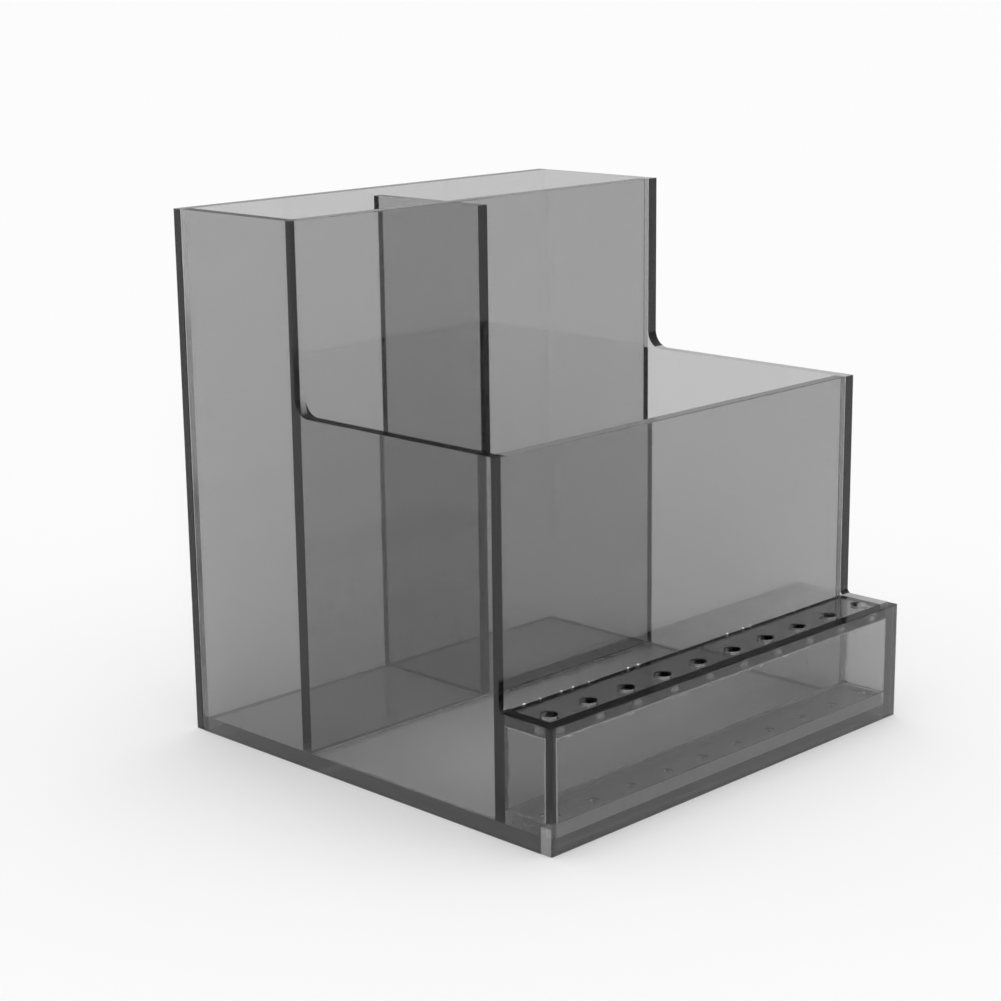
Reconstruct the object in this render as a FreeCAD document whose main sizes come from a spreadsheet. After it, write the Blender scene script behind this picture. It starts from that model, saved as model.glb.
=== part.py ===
import FreeCAD, Part
import Sketcher
import os

# A desk holder for nail drill bits, built from ten flat sheets of tinted acrylic that are cemented
# edge to edge. It steps down in three tiers from back to front: two tall cells, one open middle
# compartment, and a low closed rack whose top plate has a row of holes for the bits' shanks.
#
# Lengths are in millimetres. The origin is under the middle of the holder, on the surface that it
# stands on, with +Z up, the rack facing -Y and the row of holes along X.

SIZES = (
    ("overall_width", 100.0, "outer width, side face to side face"),
    ("overall_depth", 97.0, "outer depth, rack front to back wall"),
    ("overall_height", 103.0, "outer height of the rear tier"),
    ("sheet_thickness", 2.5, "thickness of every sheet"),
    ("rack_depth", 12.2, "rack front to the front face of the front wall"),
    ("rack_height", 23.0, "height of the rack tier"),
    ("middle_depth", 51.1, "front face of the front wall to front face of the middle wall"),
    ("middle_height", 67.5, "height of the middle tier"),
    ("divider_drop", 1.5, "how far the rear divider stops below the rim"),
    ("upper_step_radius", 3.5, "inner corner of the side panels at the upper step"),
    ("lower_step_radius", 1.0, "inner corner of the side panels at the lower step"),
    ("hole_count", 10, "holes in the rack's top plate"),
    ("hole_diameter", 3.0, "bit hole"),
    ("hole_end_margin", 5.45, "side face to the centre of the first hole"),
    ("hole_row_setback", 5.6, "rack front to the centre line of the holes"),
    ("pit_diameter", 1.5, "blind pit under each hole, for the shank's end"),
    ("pit_depth", 0.8, "depth of each pit"),
)

# Lengths that follow from the driving sizes, as expressions that the document evaluates.
WIDTH = "Sizes.overall_width"
HEIGHT = "Sizes.overall_height"
SHEET = "Sizes.sheet_thickness"
CLEAR_WIDTH = "(Sizes.overall_width - 2 * Sizes.sheet_thickness)"
CLEAR_DEPTH = "(Sizes.overall_depth - 2 * Sizes.sheet_thickness)"
RACK_CLEAR_DEPTH = "(Sizes.rack_depth - Sizes.sheet_thickness)"
MIDDLE_WALL_SETBACK = "(Sizes.rack_depth + Sizes.middle_depth)"
REAR_CLEAR_DEPTH = f"(Sizes.overall_depth - {MIDDLE_WALL_SETBACK} - 2 * Sizes.sheet_thickness)"
HOLE_ROW_LENGTH = "(Sizes.overall_width - 2 * Sizes.hole_end_margin)"

# Places of the sheets' faces in the holder's frame.
LEFT = "(-Sizes.overall_width / 2)"
LEFT_INNER = f"({LEFT} + Sizes.sheet_thickness)"
RIGHT_INNER = "(Sizes.overall_width / 2 - Sizes.sheet_thickness)"
FRONT = "(-Sizes.overall_depth / 2)"
FRONT_INNER = f"({FRONT} + Sizes.sheet_thickness)"
BACK_INNER = "(Sizes.overall_depth / 2 - Sizes.sheet_thickness)"
FRONT_WALL = f"({FRONT} + Sizes.rack_depth)"
MIDDLE_WALL = f"({FRONT} + {MIDDLE_WALL_SETBACK})"

TOLERANCE = 1e-6


def write_sizes(document):
    """Puts the driving sizes in a spreadsheet, one row each: name, value with its alias, note."""
    sheet = document.addObject("Spreadsheet::Sheet", "Sizes")
    for row, (alias, value, note) in enumerate(SIZES, start=1):
        sheet.set(f"A{row}", alias)
        sheet.set(f"B{row}", str(value))
        sheet.set(f"C{row}", note)
        sheet.setAlias(f"B{row}", alias)
    document.recompute()


def origin_feature(body, role):
    """Returns one of the planes or axes of a body's own origin."""
    return next(feature for feature in body.Origin.OriginFeatures if feature.Role == role)


def sketch_on(body, plane, name):
    """Makes a sketch on one of the body's own origin planes."""
    sketch = body.newObject("Sketcher::SketchObject", name)
    sketch.AttachmentSupport = [(origin_feature(body, plane), "")]
    sketch.MapMode = "FlatFace"
    return sketch


def tie_point(sketch, geometry, point, name, across, up):
    """Ties a point to the sketch's origin with one expression along each of its two axes."""
    for kind, axis, expression in (("DistanceX", -2, across), ("DistanceY", -1, up)):
        if expression == "0":
            sketch.addConstraint(Sketcher.Constraint("PointOnObject", geometry, point, axis))
            continue
        value = sketch.evalExpression(expression)
        index = sketch.addConstraint(Sketcher.Constraint(kind, -1, 1, geometry, point, value))
        label = f"{name}_{kind}"
        sketch.renameConstraint(index, label)
        sketch.setExpression(f"Constraints.{label}", expression)


def draw_outline(sketch, corners):
    """Draws a closed outline of straight cuts through corners given as pairs of expressions."""
    points = [
        FreeCAD.Vector(sketch.evalExpression(across), sketch.evalExpression(up), 0)
        for across, up in corners
    ]
    following = points[1:] + points[:1]
    sketch.addGeometry([Part.LineSegment(a, b) for a, b in zip(points, following)], False)
    for index, (across, up) in enumerate(corners):
        previous = (index - 1) % len(corners)
        sketch.addConstraint(Sketcher.Constraint("Coincident", previous, 2, index, 1))
        tie_point(sketch, index, 1, f"corner_{index}", across, up)


def cut_sheet(document, name, plane, corners, place):
    """Makes a sheet cut to an outline. It is as thick as every sheet, towards the positive axis
    from the plane, and its body's origin is put at the place given by three expressions."""
    body = document.addObject("PartDesign::Body", name)
    body.Label = name
    outline = sketch_on(body, plane, f"{name}_outline")
    draw_outline(outline, corners)
    pad = body.newObject("PartDesign::Pad", f"{name}_sheet")
    pad.Profile = outline
    pad.setExpression("Length", SHEET)
    pad.Reversed = plane == "XZ_Plane"
    for axis, expression in zip("xyz", place):
        body.setExpression(f"Placement.Base.{axis}", expression)
    document.recompute()
    return body


def rectangle(across, up):
    """Returns the corners of a rectangle that starts at the sketch's origin."""
    return (("0", "0"), (across, "0"), (across, up), ("0", up))


def round_inner_corner(document, body, name, along, up, radius):
    """Rounds the edge of a side panel that runs through the sheet at one corner of its outline."""
    sharp = body.Tip
    corner = (sharp.evalExpression(along), sharp.evalExpression(up))
    edges = [
        f"Edge{index}"
        for index, edge in enumerate(sharp.Shape.Edges, start=1)
        if all(
            abs(vertex.Y - corner[0]) < TOLERANCE and abs(vertex.Z - corner[1]) < TOLERANCE
            for vertex in edge.Vertexes
        )
    ]
    fillet = body.newObject("PartDesign::Fillet", f"{body.Name}_{name}")
    fillet.Base = (sharp, edges)
    fillet.setExpression("Radius", radius)
    document.recompute()


def make_side_panel(document, name, across):
    """Makes a stepped side panel, which stands between the rack's front panel and the back wall."""
    middle_step = f"({MIDDLE_WALL_SETBACK} - Sizes.sheet_thickness)"
    corners = (
        ("0", "0"),
        (CLEAR_DEPTH, "0"),
        (CLEAR_DEPTH, HEIGHT),
        (middle_step, HEIGHT),
        (middle_step, "Sizes.middle_height"),
        (RACK_CLEAR_DEPTH, "Sizes.middle_height"),
        (RACK_CLEAR_DEPTH, "Sizes.rack_height"),
        ("0", "Sizes.rack_height"),
    )
    body = cut_sheet(document, name, "YZ_Plane", corners, (across, FRONT_INNER, "0"))
    round_inner_corner(
        document, body, "upper_step", middle_step, "Sizes.middle_height", "Sizes.upper_step_radius"
    )
    round_inner_corner(
        document, body, "lower_step", RACK_CLEAR_DEPTH, "Sizes.rack_height", "Sizes.lower_step_radius"
    )
    return body


def bore_row(document, body, diameter, depth):
    """Bores the row of round holes down from the top face of a sheet that lies in the rack."""
    circle = sketch_on(body, "XY_Plane", f"{body.Name}_first_hole")
    circle.setExpression("AttachmentOffset.Base.z", SHEET)
    across = "(Sizes.hole_end_margin - Sizes.sheet_thickness)"
    along = "(Sizes.hole_row_setback - Sizes.sheet_thickness)"
    centre = FreeCAD.Vector(circle.evalExpression(across), circle.evalExpression(along), 0)
    width = circle.evalExpression(diameter)
    circle.addGeometry(Part.Circle(centre, FreeCAD.Vector(0, 0, 1), width / 2), False)
    tie_point(circle, 0, 3, "centre", across, along)
    circle.addConstraint(Sketcher.Constraint("Diameter", 0, width))
    circle.renameConstraint(circle.ConstraintCount - 1, "diameter")
    circle.setExpression("Constraints.diameter", diameter)

    whole = body.Shape.Volume
    hole = body.newObject("PartDesign::Pocket", f"{body.Name}_hole")
    hole.Profile = circle
    hole.setExpression("Length", depth)
    row = body.newObject("PartDesign::LinearPattern", f"{body.Name}_row")
    row.Originals = [hole]
    row.Direction = (origin_feature(body, "X_Axis"), [""])
    row.setExpression("Length", HOLE_ROW_LENGTH)
    row.setExpression("Occurrences", "Sizes.hole_count")
    body.Tip = row
    document.recompute()
    removed = whole - body.Shape.Volume
    expected = row.Occurrences * hole.Length.Value * Part.Face(circle.Shape).Area
    if abs(removed - expected) > TOLERANCE * whole:
        raise RuntimeError(f"{body.Label}: the row took away {removed:.3f}, not {expected:.3f}")


def build(document):
    """Makes the ten sheets, from the base up and from the front to the back."""
    flat, upright, lengthwise = "XY_Plane", "XZ_Plane", "YZ_Plane"
    base_outline = rectangle(CLEAR_WIDTH, CLEAR_DEPTH)
    rack_outline = rectangle(CLEAR_WIDTH, RACK_CLEAR_DEPTH)
    rack_top = "(Sizes.rack_height - Sizes.sheet_thickness)"
    divider_height = f"({HEIGHT} - Sizes.divider_drop - Sizes.sheet_thickness)"

    base = cut_sheet(document, "base_panel", flat, base_outline, (LEFT_INNER, FRONT_INNER, "0"))
    left_side = make_side_panel(document, "left_side_panel", LEFT)
    right_side = make_side_panel(document, "right_side_panel", RIGHT_INNER)
    rack_front = cut_sheet(
        document, "rack_front_panel", upright, rectangle(WIDTH, "Sizes.rack_height"), (LEFT, FRONT, "0")
    )
    seat_strip = cut_sheet(
        document, "rack_seat_strip", flat, rack_outline, (LEFT_INNER, FRONT_INNER, SHEET)
    )
    bore_row(document, seat_strip, "Sizes.pit_diameter", "Sizes.pit_depth")
    top_plate = cut_sheet(
        document, "rack_top_plate", flat, rack_outline, (LEFT_INNER, FRONT_INNER, rack_top)
    )
    bore_row(document, top_plate, "Sizes.hole_diameter", SHEET)
    front_wall = cut_sheet(
        document,
        "front_wall",
        upright,
        rectangle(CLEAR_WIDTH, "(Sizes.middle_height - Sizes.sheet_thickness)"),
        (LEFT_INNER, FRONT_WALL, SHEET),
    )
    middle_wall = cut_sheet(
        document,
        "middle_wall",
        upright,
        rectangle(CLEAR_WIDTH, f"({HEIGHT} - Sizes.sheet_thickness)"),
        (LEFT_INNER, MIDDLE_WALL, SHEET),
    )
    divider = cut_sheet(
        document,
        "rear_divider",
        lengthwise,
        rectangle(REAR_CLEAR_DEPTH, divider_height),
        ("(-Sizes.sheet_thickness / 2)", f"({MIDDLE_WALL} + Sizes.sheet_thickness)", SHEET),
    )
    back_wall = cut_sheet(
        document, "back_wall", upright, rectangle(WIDTH, HEIGHT), (LEFT, BACK_INNER, "0")
    )
    return (
        base,
        left_side,
        right_side,
        rack_front,
        seat_strip,
        top_plate,
        front_wall,
        middle_wall,
        divider,
        back_wall,
    )


def check(document, sheets):
    """Stops if a feature failed to compute or a sheet isn't one valid closed solid."""
    for item in document.Objects:
        if {"Invalid", "Error"} & set(item.State):
            raise RuntimeError(f"{item.Label} failed: {item.State}")
    for sheet in sheets:
        shape = sheet.Shape
        if shape.isNull() or not shape.isValid() or len(shape.Solids) != 1:
            raise RuntimeError(f"{sheet.Label} isn't one valid solid")


def main():
    document = FreeCAD.newDocument("nail_drill_bit_holder")
    write_sizes(document)
    sheets = build(document)
    document.recompute()
    check(document, sheets)
    os.makedirs("parts", exist_ok=True)
    for sheet in sheets:
        sheet.Shape.exportStep(f"parts/{sheet.Label}.step")
        box = sheet.Shape.BoundBox
        print(
            f"{sheet.Label}: volume {sheet.Shape.Volume:.1f}, "
            f"from ({box.XMin:.2f}, {box.YMin:.2f}, {box.ZMin:.2f}) "
            f"to ({box.XMax:.2f}, {box.YMax:.2f}, {box.ZMax:.2f})"
        )


main()
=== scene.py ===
import math

import bmesh
import bpy
import numpy as np
from mathutils import Matrix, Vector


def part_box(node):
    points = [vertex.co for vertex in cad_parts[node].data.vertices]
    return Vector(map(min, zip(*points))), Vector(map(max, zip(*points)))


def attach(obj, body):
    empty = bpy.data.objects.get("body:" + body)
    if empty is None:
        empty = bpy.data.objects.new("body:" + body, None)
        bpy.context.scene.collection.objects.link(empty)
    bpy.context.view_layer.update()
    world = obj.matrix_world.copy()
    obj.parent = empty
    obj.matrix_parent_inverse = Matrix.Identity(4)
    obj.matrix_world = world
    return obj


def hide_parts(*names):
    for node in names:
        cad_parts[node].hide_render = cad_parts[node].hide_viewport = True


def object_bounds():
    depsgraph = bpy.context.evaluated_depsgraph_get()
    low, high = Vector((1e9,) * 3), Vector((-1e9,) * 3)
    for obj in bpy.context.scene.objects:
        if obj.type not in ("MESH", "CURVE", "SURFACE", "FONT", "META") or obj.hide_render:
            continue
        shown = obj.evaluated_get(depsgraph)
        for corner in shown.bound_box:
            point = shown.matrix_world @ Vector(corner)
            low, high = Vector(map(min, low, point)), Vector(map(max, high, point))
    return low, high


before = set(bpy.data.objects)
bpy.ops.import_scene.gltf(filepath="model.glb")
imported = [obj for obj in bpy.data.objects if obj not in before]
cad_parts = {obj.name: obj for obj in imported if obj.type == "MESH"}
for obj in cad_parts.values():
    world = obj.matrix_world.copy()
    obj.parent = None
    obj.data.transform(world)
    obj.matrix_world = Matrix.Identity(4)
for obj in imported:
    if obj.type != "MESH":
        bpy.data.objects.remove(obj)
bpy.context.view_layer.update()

MM = 0.001

# The holder is cemented from flat sheets of smoked acrylic. Sizes of the holes and the rounded corners
# repeat the model's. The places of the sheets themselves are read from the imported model.
UPPER_STEP_RADIUS = 3.5 * MM
LOWER_STEP_RADIUS = 1.0 * MM
HOLE_COUNT = 10
HOLE_RADIUS = 1.5 * MM
PIT_RADIUS = 0.75 * MM
PIT_DEPTH = 0.8 * MM
FIRST_HOLE = 5.45 * MM
HOLE_ROW = 5.6 * MM

# Sizes of the finish: how far edges are eased, the gap left at each joint so that no faces coincide, and
# how far the seat strip stops short of the right side.
EDGE_BEVEL = 0.15 * MM
SIDE_PANEL_BEVEL = 0.55 * MM
UPRIGHT_BEVEL = 0.45 * MM
JOINT_GAP = 0.01 * MM
SEAT_SHORTFALL = 0.7 * MM

# Sheets that give the holder's levels and its front-to-back places.
SIDES = ("left_side_panel", "right_side_panel")
RACK_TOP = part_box("rack_front_panel")[1][2]
SEAT_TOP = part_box("rack_seat_strip")[1][2]
TIER_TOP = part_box("front_wall")[1][2]


# ---------------------------------------------------------------- materials


class Field:
    """A shader socket that can be used in an arithmetic expression."""

    def __init__(self, finish, socket):
        self.finish = finish
        self.socket = socket

    def _math(self, operation, first, second):
        return self.finish.node("ShaderNodeMath", {"operation": operation}, {0: first, 1: second})

    def __add__(self, other):
        return self._math("ADD", self, other)

    def __radd__(self, other):
        return self._math("ADD", other, self)

    def __sub__(self, other):
        return self._math("SUBTRACT", self, other)

    def __rsub__(self, other):
        return self._math("SUBTRACT", other, self)

    def __mul__(self, other):
        return self._math("MULTIPLY", self, other)

    def __rmul__(self, other):
        return self._math("MULTIPLY", other, self)


class Finish:
    """A procedural finish, built node by node: a material's, or the sky's."""

    def __init__(self, owner, output="ShaderNodeOutputMaterial"):
        self.owner = owner
        owner.use_nodes = True
        self.tree = owner.node_tree
        self.tree.nodes.clear()
        self.output = self.tree.nodes.new(output)

    def node(self, kind, settings, sockets, out=0):
        """Adds a node: its settings are set first, then the values or links of its sockets."""
        node = self.tree.nodes.new(kind)
        for name, value in settings.items():
            setattr(node, name, value)
        for key, value in sockets.items():
            if isinstance(value, Field):
                self.tree.links.new(value.socket, node.inputs[key])
            else:
                node.inputs[key].default_value = value
        return Field(self, node.outputs[out])

    def close(self, surface, volume=None):
        """Links the finished surface, and the inside where there is one, to the output."""
        self.tree.links.new(surface.socket, self.output.inputs["Surface"])
        if volume is not None:
            self.tree.links.new(volume.socket, self.output.inputs["Volume"])
        return self.owner


ACRYLIC_IOR = 1.49
SMOKE_TINT = (0.5, 0.5, 0.5, 1.0)
# A dull white for frosted faces: saw frosting on cut edges, and painted glints on the droplets and one
# bead.
SAWN_AND_GLINT_COLOUR = (0.8, 0.8, 0.8, 1.0)
WHITE = (1.0, 1.0, 1.0, 1.0)

# How strongly each kind tints the light, per metre, and how dull its cut edges are.
WALL_SMOKE, WALL_DULLNESS = 400.0, 0.1
BASE_SMOKE, BASE_DULLNESS = 85.0, 0.25
SEAT_SMOKE, SEAT_DULLNESS = 200.0, 0.25
# The cement's heavy tint is painted shade: it darkens the beads where bent light from dark places would.
CEMENT_PAINTED_SHADE_SMOKE, CEMENT_DULLNESS = 2500.0, 0.1

# Fineness of the noise, per metre, and its detail: slow waves, wipe marks and cutter marks.
WAVES = {"Scale": 60.0, "Detail": 2.0}
WIPE_MARKS = {"Scale": 130.0, "Detail": 5.0}
CUTTER_MARKS = {"Scale": 900.0, "Detail": 3.0}
RELIEF = {"Strength": 0.05, "Distance": 0.5 * MM}


def smoked_acrylic(name, smoke, dullness):
    """Clear acrylic with a grey smoke tint. Its faces are polished, with slow waves and a few wipe marks:
    roughness is 0.01 and a share of the wipe marks. Cut edges add the dullness, made uneven by the
    cutter's marks, and frosted ones are partly a dull white. Inside a cemented joint light goes straight
    on, and so does a lamp's light everywhere. Three face attributes say which face is which."""
    finish = Finish(bpy.data.materials.new(name))
    place = finish.node("ShaderNodeTexCoord", {}, {}, "Object")
    cut, cemented, frosted = (
        finish.node("ShaderNodeAttribute", {"attribute_name": attribute}, {}, "Fac")
        for attribute in ("cut_edge", "cemented", "frosted")
    )
    waves, wiped, marks = (
        finish.node("ShaderNodeTexNoise", {}, {"Vector": place, **noise})
        for noise in (WAVES, WIPE_MARKS, CUTTER_MARKS)
    )
    lamp_light = finish.node("ShaderNodeLightPath", {}, {}, "Is Shadow Ray")
    height = waves * 0.25 + cut * marks * 0.25
    polished = finish.node(
        "ShaderNodeBsdfPrincipled",
        {},
        {
            "Base Color": WHITE,
            "Roughness": (0.01 + 0.03 * wiped) + cut * (dullness * (0.7 + 0.6 * marks)),
            "IOR": ACRYLIC_IOR,
            "Transmission Weight": 1.0,
            "Normal": finish.node("ShaderNodeBump", {}, {"Height": height, **RELIEF}),
        },
    )
    clear = finish.node("ShaderNodeBsdfTransparent", {}, {})
    acrylic = finish.node("ShaderNodeMixShader", {}, {0: cemented + lamp_light, 1: polished, 2: clear})
    # Frosted faces are partly a dull white: saw frosting on cut edges, and painted glints on the droplets
    # and one bead.
    saw_marks_and_painted_glints = finish.node("ShaderNodeBsdfDiffuse", {}, {"Color": SAWN_AND_GLINT_COLOUR})
    frost_and_glint_share = frosted * (0.9 + 0.2 * marks) * (1.0 - lamp_light)
    surface = finish.node("ShaderNodeMixShader", {}, {0: frost_and_glint_share, 1: acrylic, 2: saw_marks_and_painted_glints})
    inside = finish.node("ShaderNodeVolumeAbsorption", {}, {"Color": SMOKE_TINT, "Density": smoke})
    return finish.close(surface, inside)


WALL_ACRYLIC = smoked_acrylic("wall_acrylic", WALL_SMOKE, WALL_DULLNESS)
BASE_ACRYLIC = smoked_acrylic("base_acrylic", BASE_SMOKE, BASE_DULLNESS)
SEAT_ACRYLIC = smoked_acrylic("seat_acrylic", SEAT_SMOKE, SEAT_DULLNESS)
# The cement for the beads, whose heavy tint is painted shade.
SHADE_PAINTED_CEMENT = smoked_acrylic("cement_with_painted_shade", CEMENT_PAINTED_SHADE_SMOKE, CEMENT_DULLNESS)


def sawn(side, share, top=math.inf):
    """A side of a sheet that the saw left frosted: which side, how much of it is frosted, and the height
    it ends at where the same side is polished above."""
    return side, share, top


SAWN_SIDES = {
    "base_panel": (sawn("-x", 0.25), sawn("+x", 0.35), sawn("-y", 0.28), sawn("+y", 0.35)),
    "rack_seat_strip": (sawn("-x", 0.3), sawn("+x", 0.35), sawn("-y", 0.58), sawn("+y", 0.5)),
    "rack_front_panel": (sawn("-x", 0.18, SEAT_TOP),),
    "front_wall": (sawn("+z", 0.22),),
    "middle_wall": (sawn("+z", 0.22), sawn("-z", 0.5)),
    "back_wall": (sawn("+z", 0.25),),
    "rear_divider": (sawn("+z", 0.2),),
    "right_side_panel": (sawn("-y", 0.32, RACK_TOP), sawn("+z", 0.5)),
}

# Pairs of sheets whose cement has wetted the joint right through, one of them only up to a height. The
# other joints keep a film of air.
CEMENTED_JOINTS = (
    ("left_side_panel", "rack_front_panel"),
    ("right_side_panel", "rack_front_panel"),
    ("left_side_panel", "front_wall"),
    ("left_side_panel", "middle_wall"),
    ("left_side_panel", "base_panel"),
    ("right_side_panel", "base_panel"),
    ("base_panel", "rack_front_panel"),
    ("rack_seat_strip", "rack_front_panel"),
    ("left_side_panel", "rack_seat_strip"),
    ("base_panel", "front_wall"),
    ("base_panel", "middle_wall"),
    ("base_panel", "rear_divider"),
    ("base_panel", "back_wall"),
    ("right_side_panel", "back_wall"),
    ("right_side_panel", "middle_wall", TIER_TOP),
    ("rack_top_plate", "front_wall"),
    ("rear_divider", "back_wall"),
    ("rear_divider", "middle_wall"),
)


# ---------------------------------------------------------------- sheets


# Points nearer than this are one, in metres.
MERGE = 1e-7


def corners(node):
    """The lowest and the highest corner of a node's box."""
    low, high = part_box(node)
    return np.array(low, float), np.array(high, float)


def contacts(node):
    """The rectangles in which a node is cemented to others: the axis across each, and its two corners.
    Each is where the two boxes overlap, and it is thinnest across the joint."""
    found = []
    for first, second, *top in CEMENTED_JOINTS:
        if node in (first, second):
            lows, highs = zip(corners(first), corners(second))
            low, high = np.maximum(*lows), np.minimum(*highs)
            high[2] = min([high[2], *top])
            found.append((int(np.argmin(high - low)), low, high))
    return found


def split_at(work, axis, place):
    """Cuts every face of a mesh where it crosses the plane at a place along an axis."""
    point, normal = np.zeros(3), np.zeros(3)
    point[axis] = place
    normal[axis] = 1
    bmesh.ops.bisect_plane(
        work,
        geom=work.verts[:] + work.edges[:] + work.faces[:],
        dist=MERGE,
        plane_co=point.tolist(),
        plane_no=normal.tolist(),
    )


def split_round_joints(work, node, joints):
    """Cuts a sheet's faces along the borders of its cemented joints, where these lie within the sheet."""
    low, high = corners(node)
    margin = 4 * JOINT_GAP
    for across, start, end in joints:
        for axis in range(3):
            if axis != across:
                for place in (start[axis], end[axis]):
                    if low[axis] + margin < place < high[axis] - margin:
                        split_at(work, axis, place)


def looks_along(face, side):
    """Whether a face looks along an axis, named by its sign and letter."""
    return face.normal["xyz".index(side[1])] * (1 if side[0] == "+" else -1) > 0.9


def mark_faces(work, node, joints):
    """Gives each face its finish: a sheet's broad face or a cut edge, cemented or not, frosted or not."""
    low, high = corners(node)
    thin = int(np.argmin(high - low))
    reach = 3 * JOINT_GAP
    cut_edge, cemented, frosted = (
        work.faces.layers.float.new(attribute) for attribute in ("cut_edge", "cemented", "frosted")
    )
    for face in work.faces:
        middle = np.array(face.calc_center_median())
        face[cut_edge] = 0.0 if abs(face.normal[thin]) > 0.5 else 1.0
        for across, start, end in joints:
            inside = (middle > start - reach) & (middle < end + reach)
            if abs(face.normal[across]) > 0.9 and inside.all():
                face[cemented] = 1.0
        for side, share, top in SAWN_SIDES.get(node, ()):
            if looks_along(face, side) and middle[2] < top:
                face[frosted] = share
        face.smooth = max(abs(value) for value in face.normal) < 0.999
    return cemented


def mark_edges(work, cemented, lying_share):
    """Weighs the edges that are eased: all the free ones. Upright ones get the full easing, and the lying
    ones their share of it. Sharp edges are shaded sharp."""
    weight = work.edges.layers.float.new("bevel_weight_edge")
    for edge in work.edges:
        free = all(face[cemented] == 0 for face in edge.link_faces)
        upright = all(abs(face.normal[2]) < 0.5 for face in edge.link_faces)
        if edge.calc_face_angle(0) > 0.7 and free:
            edge[weight] = 1.0 if upright else lying_share
        edge.smooth = edge.calc_face_angle(0) < 0.5


def add_piece(name, mesh, acrylic):
    """Puts a mesh of one kind of acrylic into the scene, riding on the holder's one body."""
    mesh.materials.append(acrylic)
    piece = bpy.data.objects.new(name, mesh)
    bpy.context.scene.collection.objects.link(piece)
    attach(piece, "root")
    return piece


def add_sheet(name, node, shape, acrylic=WALL_ACRYLIC, bevel=EDGE_BEVEL, upright_bevel=None):
    """Makes a sheet from its points and faces, in the place of its solid in the model. Its faces are split
    round the joints and marked with their finish, and its free edges are eased."""
    points, faces = shape
    mesh = bpy.data.meshes.new(name)
    mesh.from_pydata(points.tolist(), [], faces)
    joints = contacts(node)
    work = bmesh.new()
    work.from_mesh(mesh)
    bmesh.ops.remove_doubles(work, verts=work.verts, dist=MERGE)
    split_round_joints(work, node, joints)
    bmesh.ops.recalc_face_normals(work, faces=work.faces)
    work.normal_update()
    cemented = mark_faces(work, node, joints)
    widest = upright_bevel or bevel
    mark_edges(work, cemented, bevel / widest if widest else 1.0)
    work.to_mesh(mesh)
    work.free()
    piece = add_piece(name, mesh, acrylic)
    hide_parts(node)
    if bevel:
        ease = piece.modifiers.new("eased edges", "BEVEL")
        ease.width = widest
        ease.segments = 3
        ease.limit_method = "WEIGHT"
        ease.use_clamp_overlap = True


def trimmed(node, gaps):
    """The corners of a node's box, drawn in by the joint gap on the sides named in gaps."""
    low, high = corners(node)
    for sign, axis in gaps:
        end, inward = (low, 1) if sign == "-" else (high, -1)
        end["xyz".index(axis)] += inward * JOINT_GAP
    return low, high


def prism(outline, axis, low, high):
    """Carries a flat outline straight along an axis: two copies of its points, one at each end, a
    quad between each pair of neighbours, and the two ends as single faces."""
    outline = np.asarray(outline, float)
    count = len(outline)
    across = [i for i in range(3) if i != axis]
    points = np.zeros((2 * count, 3))
    points[:, across] = np.tile(outline, (2, 1))
    points[:count, axis] = low
    points[count:, axis] = high
    ends = [list(range(count))[::-1], list(range(count, 2 * count))]
    return points, ends + band(0, count, count)


def rectangle(low, high):
    """The corners of a flat rectangle, counter-clockwise from its low corner."""
    return np.array([(low[0], low[1]), (high[0], low[1]), (high[0], high[1]), (low[0], high[1])])


def rectangle_sheet(node, gaps):
    """A plain sheet: its rectangle seen from above, carried through its height."""
    low, high = trimmed(node, gaps)
    return prism(rectangle(low, high), 2, low[2], high[2])


def inner_arc(wall, ledge, radius, steps=10):
    """The rounded inner corner of a step: centre plus radius times the cosine and sine of the angle, run
    backwards, so that it leads down the wall and on to the ledge."""
    angle = np.radians(np.linspace(0, -90, steps + 1))
    centre = (wall - radius, ledge + radius)
    return np.stack([centre[0] + radius * np.cos(angle), centre[1] + radius * np.sin(angle)], axis=1)


def stepped_panel(node, gaps):
    """The side panel: its stepped outline, with the two inner corners rounded, carried through the
    sheet's thickness."""
    low, high = trimmed(node, gaps)
    front_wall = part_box("front_wall")[0][1]
    middle_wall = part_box("middle_wall")[0][1]
    outline = np.concatenate(
        [
            [(low[1], low[2]), (high[1], low[2]), (high[1], high[2]), (middle_wall, high[2])],
            inner_arc(middle_wall, TIER_TOP, UPPER_STEP_RADIUS),
            [(front_wall, TIER_TOP)],
            inner_arc(front_wall, RACK_TOP, LOWER_STEP_RADIUS),
            [(low[1], RACK_TOP)],
        ]
    )
    return prism(outline, 0, low[0], high[0])


def band(first, second, count):
    """The quads between two rings of points that have the same count, given where each ring starts."""
    step = np.arange(count)
    after = (step + 1) % count
    return np.stack([first + step, first + after, second + after, second + step], axis=1).tolist()


def border(low, high, per_side):
    """Points round a rectangle, the same number along each side, starting at its low corner."""
    share = np.linspace(0, 1, per_side, endpoint=False)[:, None]
    start = rectangle(low, high)
    end = np.roll(start, -1, axis=0)
    return (start[:, None] + share * (end - start)[:, None]).reshape(-1, 2)


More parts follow.
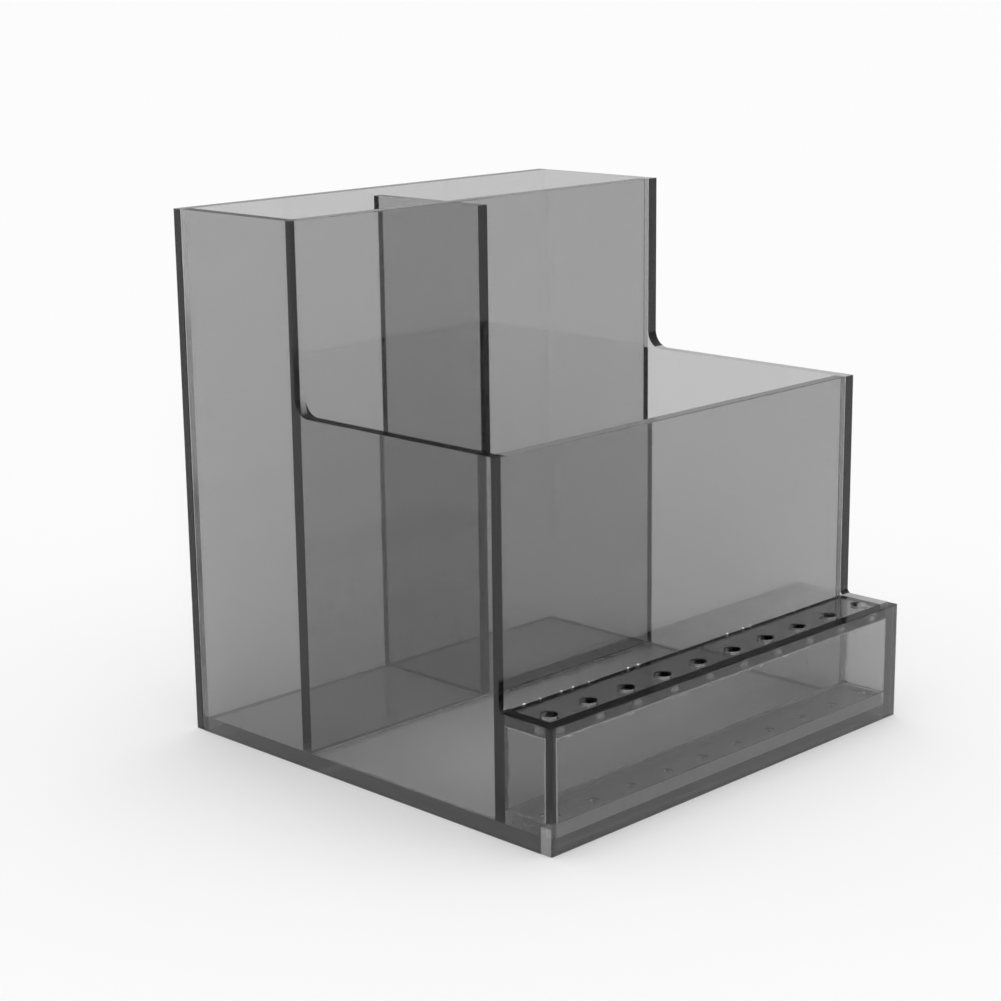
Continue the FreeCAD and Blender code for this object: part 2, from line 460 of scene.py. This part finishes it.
def drilled_sheet(node, gaps, radius, depth=math.inf, short=0.0, per_side=16):
    """A strip with a row of round holes, or of pits where a depth is given. It is cut into one cell per
    hole. In each cell, rings of points go from the cell's border in to the hole's rim and down the hole's
    wall. A through hole's rings go on to its lower rim and out to the border again. A pit's end in its
    floor, and the cell has a plain underside."""
    low, high = trimmed(node, gaps)
    high[0] -= short
    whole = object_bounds()
    centre_y = whole[0][1] + HOLE_ROW
    pitch = (whole[1][0] - whole[0][0] - 2 * FIRST_HOLE) / (HOLE_COUNT - 1)
    centres = whole[0][0] + FIRST_HOLE + pitch * np.arange(HOLE_COUNT)
    cuts = np.concatenate([[low[0]], (centres[1:] + centres[:-1]) / 2, [high[0]]])
    through = depth >= high[2] - low[2]
    ease = min(EDGE_BEVEL, depth / 3)
    count = 4 * per_side
    points, faces = [], []
    for index, centre in enumerate(centres):
        middle = np.array([centre, centre_y])
        edge = border((cuts[index], low[1]), (cuts[index + 1], high[1]), per_side)
        angle = np.arctan2(edge[:, 1] - centre_y, edge[:, 0] - centre)
        circle = np.stack([np.cos(angle), np.sin(angle)], axis=1)
        wall, rim = middle + circle * radius, middle + circle * (radius + ease)
        rings = [(edge, high[2]), (rim, high[2]), (wall, high[2] - ease)]
        if through:
            rings += [(wall, low[2] + ease), (rim, low[2]), (edge, low[2])]
        else:
            centre_ring = middle + circle * radius * 0.02
            rings += [(wall, high[2] - depth), (centre_ring, high[2] - depth), (edge, low[2])]
        starts = (len(rings) * index + np.arange(len(rings))) * count
        points += [np.column_stack([ring, np.full(count, height)]) for ring, height in rings]
        joined = starts if through else starts[:-1]
        for first, second in zip(joined, joined[1:]):
            faces += band(first, second, count)
        if not through:
            faces.append(list(range(starts[-2], starts[-2] + count)))
            faces.append(list(range(starts[-1], starts[-1] + count))[::-1])
        # The strip's outer walls, where the border isn't shared with the next cell or the last one.
        side = np.arange(count) // per_side
        shared = ((side == 1) & (index < HOLE_COUNT - 1)) | ((side == 3) & (index > 0))
        outer = np.array(band(starts[0], starts[-1], count))
        faces += outer[~shared].tolist()
    return np.concatenate(points), faces


ALL_ROUND = ("-x", "+x", "-y", "+y")
FRONT_AND_BACK = ("-y", "+y")
LEFT_RIGHT_UNDER = ("-x", "+x", "-z")

add_sheet("acrylic_base", "base_panel", rectangle_sheet("base_panel", ALL_ROUND), BASE_ACRYLIC)
for name, node in zip(("acrylic_left_side", "acrylic_right_side"), SIDES):
    add_sheet(name, node, stepped_panel(node, FRONT_AND_BACK), bevel=SIDE_PANEL_BEVEL)
for name, node in (("acrylic_rack_front", "rack_front_panel"), ("acrylic_back_wall", "back_wall")):
    add_sheet(name, node, rectangle_sheet(node, ()), upright_bevel=UPRIGHT_BEVEL)
for name, node, gaps in (
    ("acrylic_front_wall", "front_wall", LEFT_RIGHT_UNDER),
    ("acrylic_middle_wall", "middle_wall", LEFT_RIGHT_UNDER),
    ("acrylic_divider", "rear_divider", ("-y", "+y", "-z")),
):
    add_sheet(name, node, rectangle_sheet(node, gaps))
drilled = drilled_sheet("rack_top_plate", ALL_ROUND, HOLE_RADIUS)
add_sheet("acrylic_rack_top", "rack_top_plate", drilled, bevel=0)
pitted = drilled_sheet("rack_seat_strip", (*ALL_ROUND, "-z"), PIT_RADIUS, PIT_DEPTH, SEAT_SHORTFALL)
add_sheet("acrylic_seat_strip", "rack_seat_strip", pitted, SEAT_ACRYLIC, bevel=0)


# ---------------------------------------------------------------- cement


BEAD_RADIUS = 0.25 * MM
BEAD_STATION = 0.8 * MM
BEAD_WAVES = (2.3 * MM, 5.1 * MM, 11 * MM, 29 * MM)
BEAD_SECTION_STEPS = 6

# Beads that stand off the sheets: which corner of their cell, radius, and how frosted they are. The
# frosting of the first one, in the rack's front left corner, is a painted glint, and the two thick ones in
# its rear corners paint dark lines of shade.
LOOSE_RACK_BEADS = {
    0: (0.35 * MM, 0.5),
    1: (0.95 * MM, 0.0),
    3: (0.9 * MM, 0.0),
    5: (0.35 * MM, 0.0),
    6: (0.35 * MM, 0.0),
    7: (0.35 * MM, 0.0),
}
# The thick bead along the middle wall's foot is painted shade: a dark line on the floor at the wall.
LOOSE_TIER_BEAD_PAINTED_SHADE = {3: (0.5 * MM, 0.0)}

DROPLETS = 70
DROPLET_RADII = (0.08 * MM, 0.22 * MM)
# The droplets' dull white is partly cloudy cement and partly painted glints: it shows them as light specks.
DROPLET_FROST_AND_PAINTED_GLINT = 0.9
DROPLET_HEIGHT = 0.8


def bead_points(corner, away, along, length, radius, seed):
    """A fillet of cement in an inner corner. Its section is the corner point and a hollow quarter arc
    that touches both faces. The section is carried along the corner, and its size swells and shrinks as
    a sum of four slow waves."""
    random = np.random.default_rng(seed)
    stations = np.linspace(0, 1, max(8, int(length / BEAD_STATION)))
    waves = sum(
        random.uniform(0.08, 0.16) * np.sin(2 * np.pi * (length / pitch * stations + random.uniform()))
        for pitch in BEAD_WAVES
    )
    size = radius * (1 + waves)
    turn = np.linspace(0, np.pi / 2, BEAD_SECTION_STEPS)
    section = np.concatenate([[(0, 0)], np.stack([1 - np.sin(turn), 1 - np.cos(turn)], axis=1)])
    across, up = (sign * np.eye(3)[axis] for axis, sign in away)
    start = np.asarray(corner, float) + (across + up) * JOINT_GAP
    ring = section[:, :1] * across + section[:, 1:] * up
    line = start + stations[:, None] * length * np.eye(3)[along]
    return line[:, None, :] + size[:, None, None] * ring[None, :, :]


def tube_quads(stations, count):
    """The quads between rings of points that lie one after the other, all with the same count."""
    step, side = np.meshgrid(np.arange(stations - 1), np.arange(count), indexing="ij")
    here, after = step * count + side, step * count + (side + 1) % count
    return np.stack([here, after, after + count, here + count], axis=-1).reshape(-1, 4)


def bead_faces(stations, count, start):
    """The quads round a bead, its two ends, and which of them lie flat against a sheet."""
    side = np.tile(np.arange(count), stations - 1)
    flat = (side == 0) | (side == count - 1)
    first = np.arange(count) + start
    last = first + count * (stations - 1)
    ends = [first[::-1].tolist(), last.tolist()]
    return (tube_quads(stations, count) + start).tolist() + ends, flat.tolist() + [False, False]


def cell_corners(low, high, levels, upright):
    """The inner corners of a cell: four lying ones at each level, and four upright ones where asked. Each
    is its starting point, the directions away from its two faces, its axis and its length."""
    if upright:
        for x, face_x in ((low[0], 1), (high[0], -1)):
            for y, face_y in ((low[1], 1), (high[1], -1)):
                yield (x, y, low[2]), ((0, face_x), (1, face_y)), 2, high[2] - low[2]
    for z, face_z in levels:
        for x, face_x in ((low[0], 1), (high[0], -1)):
            yield (x, low[1], z), ((0, face_x), (2, face_z)), 1, high[1] - low[1]
        for y, face_y in ((low[1], 1), (high[1], -1)):
            yield (low[0], y, z), ((1, face_y), (2, face_z)), 0, high[0] - low[0]


def face_values(mesh, attribute, values):
    """Gives each face of a mesh its own value of an attribute that the acrylic reads."""
    layer = mesh.attributes.new(attribute, "FLOAT", "FACE")
    layer.data.foreach_set("value", np.array(values, float))


def cement_beads(name, cell, levels, seed, loose, upright=False):
    """The beads in a cell's inner corners, one fillet per corner, as one piece. The faces that lie
    against a sheet count as cemented, apart from those of loose beads."""
    blocks, faces, flat, painted_glints, start = [], [], [], [], 0
    for index, (corner, away, along, length) in enumerate(cell_corners(*cell, levels, upright)):
        radius, painted_glint_share = loose.get(index, (BEAD_RADIUS, 0.0))
        grid = bead_points(corner, away, along, length, radius, seed + index)
        new_faces, new_flat = bead_faces(grid.shape[0], grid.shape[1], start)
        blocks.append(grid.reshape(-1, 3))
        faces += new_faces
        flat += [False] * len(new_flat) if index in loose else new_flat
        # The frosted share of a bead is its painted glint.
        painted_glints += [painted_glint_share] * len(new_flat)
        start += grid.shape[0] * grid.shape[1]
    mesh = bpy.data.meshes.new(name)
    mesh.from_pydata(np.concatenate(blocks).tolist(), [], faces)
    face_values(mesh, "cemented", flat)
    face_values(mesh, "frosted", painted_glints)
    work = bmesh.new()
    work.from_mesh(mesh)
    bmesh.ops.recalc_face_normals(work, faces=work.faces)
    work.to_mesh(mesh)
    work.free()
    # The beads are dark with painted shade from the cement's heavy tint.
    add_piece(name, mesh, SHADE_PAINTED_CEMENT)


def cell_between(front, back, floor, top):
    """A cell's two corners, from the boxes of the sheets round it and the height it ends at."""
    left, right = SIDES
    low = np.array([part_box(left)[1][0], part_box(front)[1][1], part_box(floor)[1][2]])
    high = np.array([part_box(right)[0][0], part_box(back)[0][1], top])
    return low, high


def droplet_shape(rings=5, around=8):
    """A droplet of radius one: a sphere on a grid of latitude and longitude, a little flattened, with its
    poles as single points. Gives its points, quads and triangles."""
    tilt = np.linspace(0, np.pi, rings + 2)[1:-1]
    turn = np.linspace(0, 2 * np.pi, around, endpoint=False)
    ring_points = np.stack(
        [
            np.outer(np.sin(tilt), np.cos(turn)).ravel(),
            np.outer(np.sin(tilt), np.sin(turn)).ravel(),
            np.repeat(np.cos(tilt), around) * DROPLET_HEIGHT,
        ],
        axis=1,
    )
    poles = [(0, 0, DROPLET_HEIGHT), (0, 0, -DROPLET_HEIGHT)]
    top_pole = len(ring_points)
    side = np.arange(around)
    after = (side + 1) % around
    last = top_pole - around
    top = np.stack([np.full(around, top_pole), side, after], axis=1)
    bottom = np.stack([np.full(around, top_pole + 1), last + after, last + side], axis=1)
    quads = tube_quads(rings, around)[:, ::-1]
    return np.concatenate([ring_points, poles]), quads, np.concatenate([top, bottom])


def droplets(name, places, radii):
    """Tiny droplets of cement: the droplet's points times each radius, plus each place."""
    ball, quads, triangles = droplet_shape()
    points = (places[:, None, :] + radii[:, None, None] * ball[None, :, :]).reshape(-1, 3)
    shift = (np.arange(len(places)) * len(ball))[:, None, None]
    faces = (quads + shift).reshape(-1, 4).tolist() + (triangles + shift).reshape(-1, 3).tolist()
    mesh = bpy.data.meshes.new(name)
    mesh.from_pydata(points.tolist(), [], faces)
    mesh.polygons.foreach_set("use_smooth", np.ones(len(faces), bool))
    # Their dull white paints glints as light specks.
    face_values(mesh, "frosted", np.full(len(faces), DROPLET_FROST_AND_PAINTED_GLINT))
    add_piece(name, mesh, WALL_ACRYLIC)


def rack_droplets():
    """Scatters droplets along the top plate: under its front edge, and fewer on it along the front wall."""
    random = np.random.default_rng(11)
    low, high = corners("rack_top_plate")
    along = random.uniform(low[0] + 1 * MM, high[0] - 1 * MM, DROPLETS)
    radii = random.uniform(*DROPLET_RADII, DROPLETS)
    below = low[2] - radii - random.uniform(0.05, 0.6, DROPLETS) * MM
    front = np.stack([along, low[1] + radii + 0.02 * MM, below], axis=1)
    rear = np.stack([along[::-1], high[1] - radii - 0.02 * MM, high[2] + radii + 0.01 * MM], axis=1)
    droplets("cement_droplets", np.concatenate([front, rear[::3]]), np.concatenate([radii, radii[::3]]))


rack_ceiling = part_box("rack_top_plate")[0][2]
rack_cell = cell_between("rack_front_panel", "front_wall", "rack_seat_strip", rack_ceiling)
rack_levels = ((rack_cell[0][2], 1), (rack_cell[1][2], -1))
cement_beads("cement_rack", rack_cell, rack_levels, 1100, LOOSE_RACK_BEADS, upright=True)
tier_cell = cell_between("front_wall", "middle_wall", "base_panel", TIER_TOP)
cement_beads("cement_middle", tier_cell, ((tier_cell[0][2], 1),), 1300, LOOSE_TIER_BEAD_PAINTED_SHADE)
rack_droplets()


# ---------------------------------------------------------------- stage


FLOOR_COLOUR = (0.94, 0.94, 0.94, 1.0)
FLOOR_REACH = 30.0
FLOOR_DEPTH = 0.05 * MM
SKY_AT_HORIZON = 0.3
SKY_RISE = 0.6
SKY_POWER = 2.0

# Name, strength, width in degrees, place, and whether it is mirrored in the acrylic.
SOFT_LAMPS = (
    ("overhead", 0.8, 50, (0.1, 0.15, 1.3), True),
    ("front", 1.6, 18, (-0.65, -0.7, 0.31), False),
    ("front_glow", 0.55, 24, (-0.65, -0.7, 0.31), True),
)
LAMP_TARGET = (0, 0, 0.04)

# The photograph's view, found from the object's corners: degrees, metres and millimetres.
CAMERA_AZIMUTH, CAMERA_ELEVATION, CAMERA_ROLL = -45.252, 13.765, -0.707
CAMERA_PLACE = (-0.3054, -0.2905, 0.1486)
CAMERA_LENS, CAMERA_SENSOR = 80.16, 36


def make_floor():
    """A plain white floor, a hair below the holder."""
    finish = Finish(bpy.data.materials.new("studio_floor"))
    surface = finish.node("ShaderNodeBsdfDiffuse", {}, {"Color": FLOOR_COLOUR, "Roughness": 0.0})
    square = rectangle((-FLOOR_REACH, -FLOOR_REACH), (FLOOR_REACH, FLOOR_REACH))
    mesh = bpy.data.meshes.new("floor")
    mesh.from_pydata(np.column_stack([square, np.full(4, -FLOOR_DEPTH)]).tolist(), [], [(0, 1, 2, 3)])
    mesh.materials.append(finish.close(surface))
    floor = bpy.data.objects.new("floor", mesh)
    bpy.context.scene.collection.objects.link(floor)


def make_sky():
    """A soft white dome: its strength is that of the horizon plus the height squared times the rise."""
    world = bpy.data.worlds.new("studio")
    bpy.context.scene.world = world
    sky = Finish(world, "ShaderNodeOutputWorld")
    place = sky.node("ShaderNodeTexCoord", {}, {}, "Generated")
    height = sky.node("ShaderNodeSeparateXYZ", {}, {0: place}, "Z")
    above = sky.node("ShaderNodeMath", {"operation": "MAXIMUM"}, {0: height, 1: 0.0})
    steep = sky.node("ShaderNodeMath", {"operation": "POWER"}, {0: above, 1: SKY_POWER})
    strength = steep * SKY_RISE + SKY_AT_HORIZON
    sky.close(sky.node("ShaderNodeBackground", {}, {"Color": WHITE, "Strength": strength}))


def put(name, data, place, right, up, back):
    """Puts a lamp or a camera at a place, looking away from its back direction."""
    holder = bpy.data.objects.new(name, data)
    bpy.context.scene.collection.objects.link(holder)
    axes = np.column_stack([right, up, back, place])
    holder.matrix_world = Matrix([*axes.tolist(), (0, 0, 0, 1)])
    return holder


def make_lamps():
    """Soft lamps, each turned towards the holder: its right is level, and its up is square to both."""
    for name, strength, width, place, mirrored in SOFT_LAMPS:
        lamp = bpy.data.lights.new(name, "SUN")
        lamp.angle = math.radians(width)
        lamp.energy = strength
        back = np.array(place) - np.array(LAMP_TARGET)
        back /= np.linalg.norm(back)
        right = np.cross((0, 0, 1), back)
        right /= np.linalg.norm(right)
        holder = put(name, lamp, place, right, np.cross(back, right), back)
        holder.visible_glossy = mirrored
        holder.visible_transmission = mirrored


def make_camera():
    """The photograph's view. Back and right follow from the azimuth and elevation, then the camera is
    rolled about its own axis."""
    azimuth, elevation, roll = np.radians([CAMERA_AZIMUTH, CAMERA_ELEVATION, CAMERA_ROLL])
    level = np.array([np.cos(azimuth), np.sin(azimuth), 0])
    ahead = np.array([np.sin(azimuth), -np.cos(azimuth), 0])
    back = ahead * np.cos(elevation) + np.array([0, 0, np.sin(elevation)])
    upright = np.cross(back, level)
    right = np.cos(roll) * level + np.sin(roll) * upright
    up = -np.sin(roll) * level + np.cos(roll) * upright
    camera = bpy.data.cameras.new("camera")
    camera.sensor_width = CAMERA_SENSOR
    camera.lens = CAMERA_LENS
    camera.clip_start = 0.01
    bpy.context.scene.camera = put("camera", camera, CAMERA_PLACE, right, up, back)


make_floor()
make_sky()
make_lamps()
make_camera()

scene = bpy.context.scene
scene.view_settings.view_transform = "Standard"
scene.cycles.max_bounces = 40
scene.cycles.transmission_bounces = 40
scene.cycles.glossy_bounces = 24
scene.cycles.transparent_max_bounces = 32
scene.cycles.diffuse_bounces = 4
